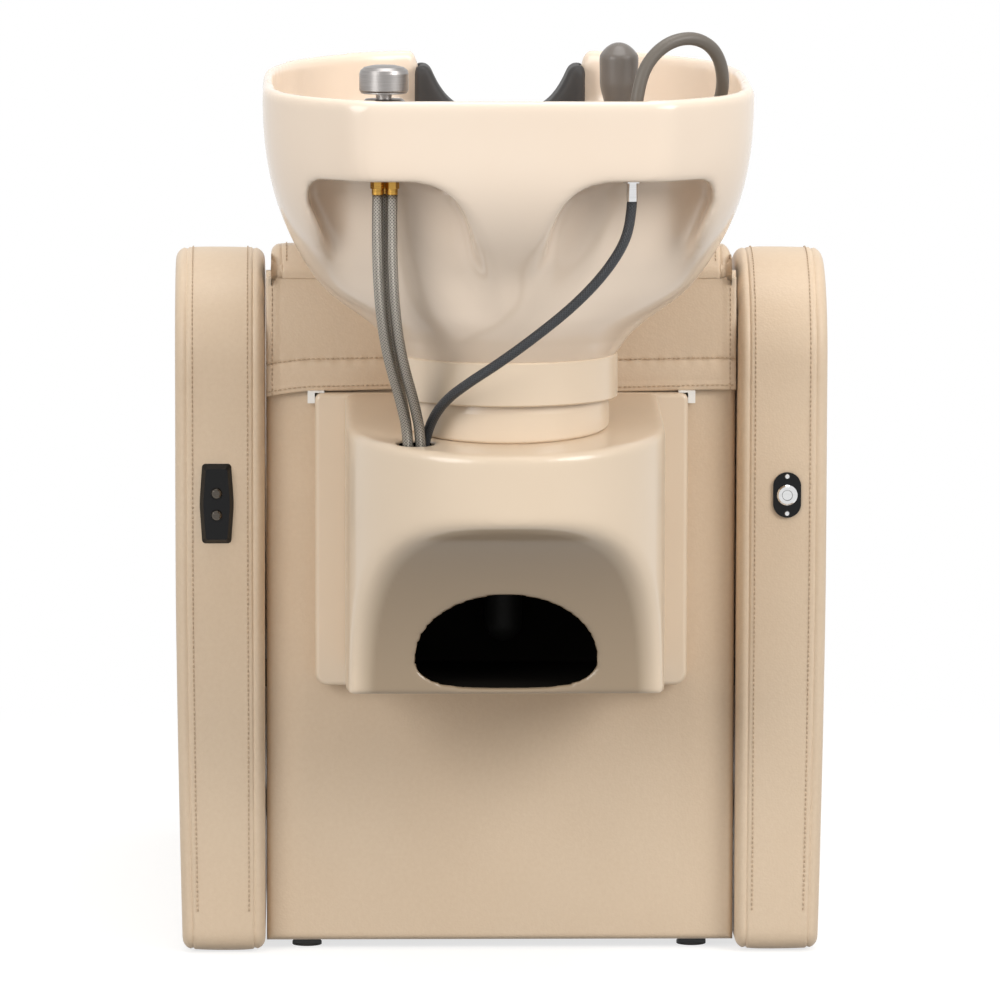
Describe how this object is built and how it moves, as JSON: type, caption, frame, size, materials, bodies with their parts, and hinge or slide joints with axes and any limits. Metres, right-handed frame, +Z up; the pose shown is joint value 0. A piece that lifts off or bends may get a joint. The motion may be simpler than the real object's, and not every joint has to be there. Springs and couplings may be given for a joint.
{
  "type": "salon backwash unit",
  "caption": "Salon backwash unit: padded armchair with a powered leg rest and, behind its back, a tilting ceramic wash bowl on a moulded housing, with tap and hand spray.",
  "frame": {"origin": "centre of the bounding box's bottom face, on the floor", "axes": "+Z up, +Y the way the client faces, +X the client's right-hand side"},
  "size_m": [0.7, 1.2504, 1.0166],
  "materials": {
    "leatherette": "matte",
    "plywood": "matte",
    "frame_steel": "satin",
    "bracket_steel": "satin",
    "cream_abs": "gloss",
    "glazed_ceramic": "gloss",
    "dark_rubber": "matte",
    "brushed_steel": "satin",
    "chrome": "polished",
    "brass": "satin",
    "steel_braid": "satin",
    "black_braid": "matte",
    "taupe_plastic": "satin",
    "taupe_hose": "satin",
    "black_plastic": "satin",
    "white_plastic": "satin",
    "grey_plastic": "satin"
  },
  "bodies": {
    "carcass": {"left_arm_upholstery": "leatherette", "right_arm_upholstery": "leatherette", "arm_boards": "plywood", "rear_frame": "frame_steel", "seat_frame": "frame_steel", "floor_glides": "dark_rubber", "rear_panel_cover": "leatherette", "rear_panel_board": "plywood", "rear_flap": "leatherette", "back_plate": "cream_abs", "plate_clips": "white_plastic", "housing": "cream_abs", "turret_cup": "cream_abs", "bowl_bracket": "bracket_steel", "tilt_base": "bracket_steel", "waste_elbow": "white_plastic", "service_block": "brass", "seat_board": "plywood", "seat_cushion": "leatherette", "back_board": "plywood", "back_cushion": "leatherette", "leg_pivots": "bracket_steel", "drive_clevis": "bracket_steel", "power_box": "black_plastic", "control_bezel": "black_plastic", "control_case": "black_plastic", "switch_plate": "black_plastic", "switch_ring": "chrome", "switch_screws": "chrome"},
    "bowl": {"bowl": "glazed_ceramic", "bowl_collar": "cream_abs", "tilt_yoke": "bracket_steel", "tilt_pins": "bracket_steel", "neck_rest": "dark_rubber", "drain_grid": "chrome", "drain_tail": "white_plastic", "tap_body": "brushed_steel", "deck_nuts": "brass", "spray_holder": "brushed_steel", "hose_tails": "brass", "feed_ferrule": "chrome", "hot_hose": "steel_braid", "cold_hose": "steel_braid", "mixed_hose": "steel_braid", "feed_hose": "black_braid", "waste_hose": "grey_plastic", "spray_hose": "taupe_hose"},
    "tap_stem": {"tap_stem": "brushed_steel"},
    "tap_knob": {"tap_knob": "brushed_steel"},
    "hand_spray": {"hand_spray": "taupe_plastic", "spray_face": "black_plastic", "spray_hose_nut": "taupe_plastic"},
    "leg_rest": {"leg_board": "plywood", "leg_pad": "leatherette", "leg_plates": "bracket_steel"},
    "drive_barrel": {"drive_barrel": "black_plastic"},
    "drive_rod": {"drive_rod": "bracket_steel"},
    "raise_button": {"raise_button": "chrome"},
    "lower_button": {"lower_button": "chrome"},
    "switch_button": {"switch_button": "chrome"}
  },
  "joints": [
    {"name": "bowl_tilt", "type": "hinge", "parent": "carcass", "child": "bowl", "pos_m": [0, -0.387, 0.615], "axis": [1, 0, 0], "range_deg": [-4, 8], "deforming": ["hot_hose", "cold_hose", "mixed_hose", "feed_hose", "waste_hose"]},
    {"name": "tap_swivel", "type": "hinge", "parent": "bowl", "child": "tap_stem", "pos_m": [-0.13, -0.578, 0.95], "axis": [0, 0, 1], "range_deg": [-45, 45]},
    {"name": "tap_lift", "type": "hinge", "parent": "tap_stem", "child": "tap_knob", "pos_m": [-0.13, -0.578, 0.962], "axis": [1, 0, 0], "range_deg": [0, 14]},
    {"name": "spray_lift", "type": "slide", "parent": "bowl", "child": "hand_spray", "axis": [0, 0, 1], "range_m": [0, 0.14], "deforming": ["spray_hose"]},
    {"name": "leg_fold", "type": "hinge", "parent": "carcass", "child": "leg_rest", "pos_m": [0, 0.573, 0.375], "axis": [1, 0, 0], "range_deg": [0, 65]},
    {"name": "drive_swing", "type": "hinge", "parent": "carcass", "child": "drive_barrel", "pos_m": [0, 0.125, 0.15], "axis": [1, 0, 0], "range_deg": [-0.2, 0.8]},
    {"name": "drive_extend", "type": "slide", "parent": "drive_barrel", "child": "drive_rod", "axis": [0, 0.9512, 0.3086], "range_m": [0, 0.09]},
    {"name": "raise_press", "type": "slide", "parent": "carcass", "child": "raise_button", "axis": [0, 1, 0], "range_m": [0, 0.002], "stiffness_N_per_m": 900},
    {"name": "lower_press", "type": "slide", "parent": "carcass", "child": "lower_button", "axis": [0, 1, 0], "range_m": [0, 0.002], "stiffness_N_per_m": 900},
    {"name": "switch_press", "type": "slide", "parent": "carcass", "child": "switch_button", "axis": [0, 1, 0], "range_m": [0, 0.002], "stiffness_N_per_m": 900}
  ],
  "couplings": [
    {"joint": "drive_swing", "follows": "leg_fold", "ratio": 0.00728},
    {"joint": "drive_extend", "follows": "leg_fold", "m_per_rad": 0.07572}
  ]
}
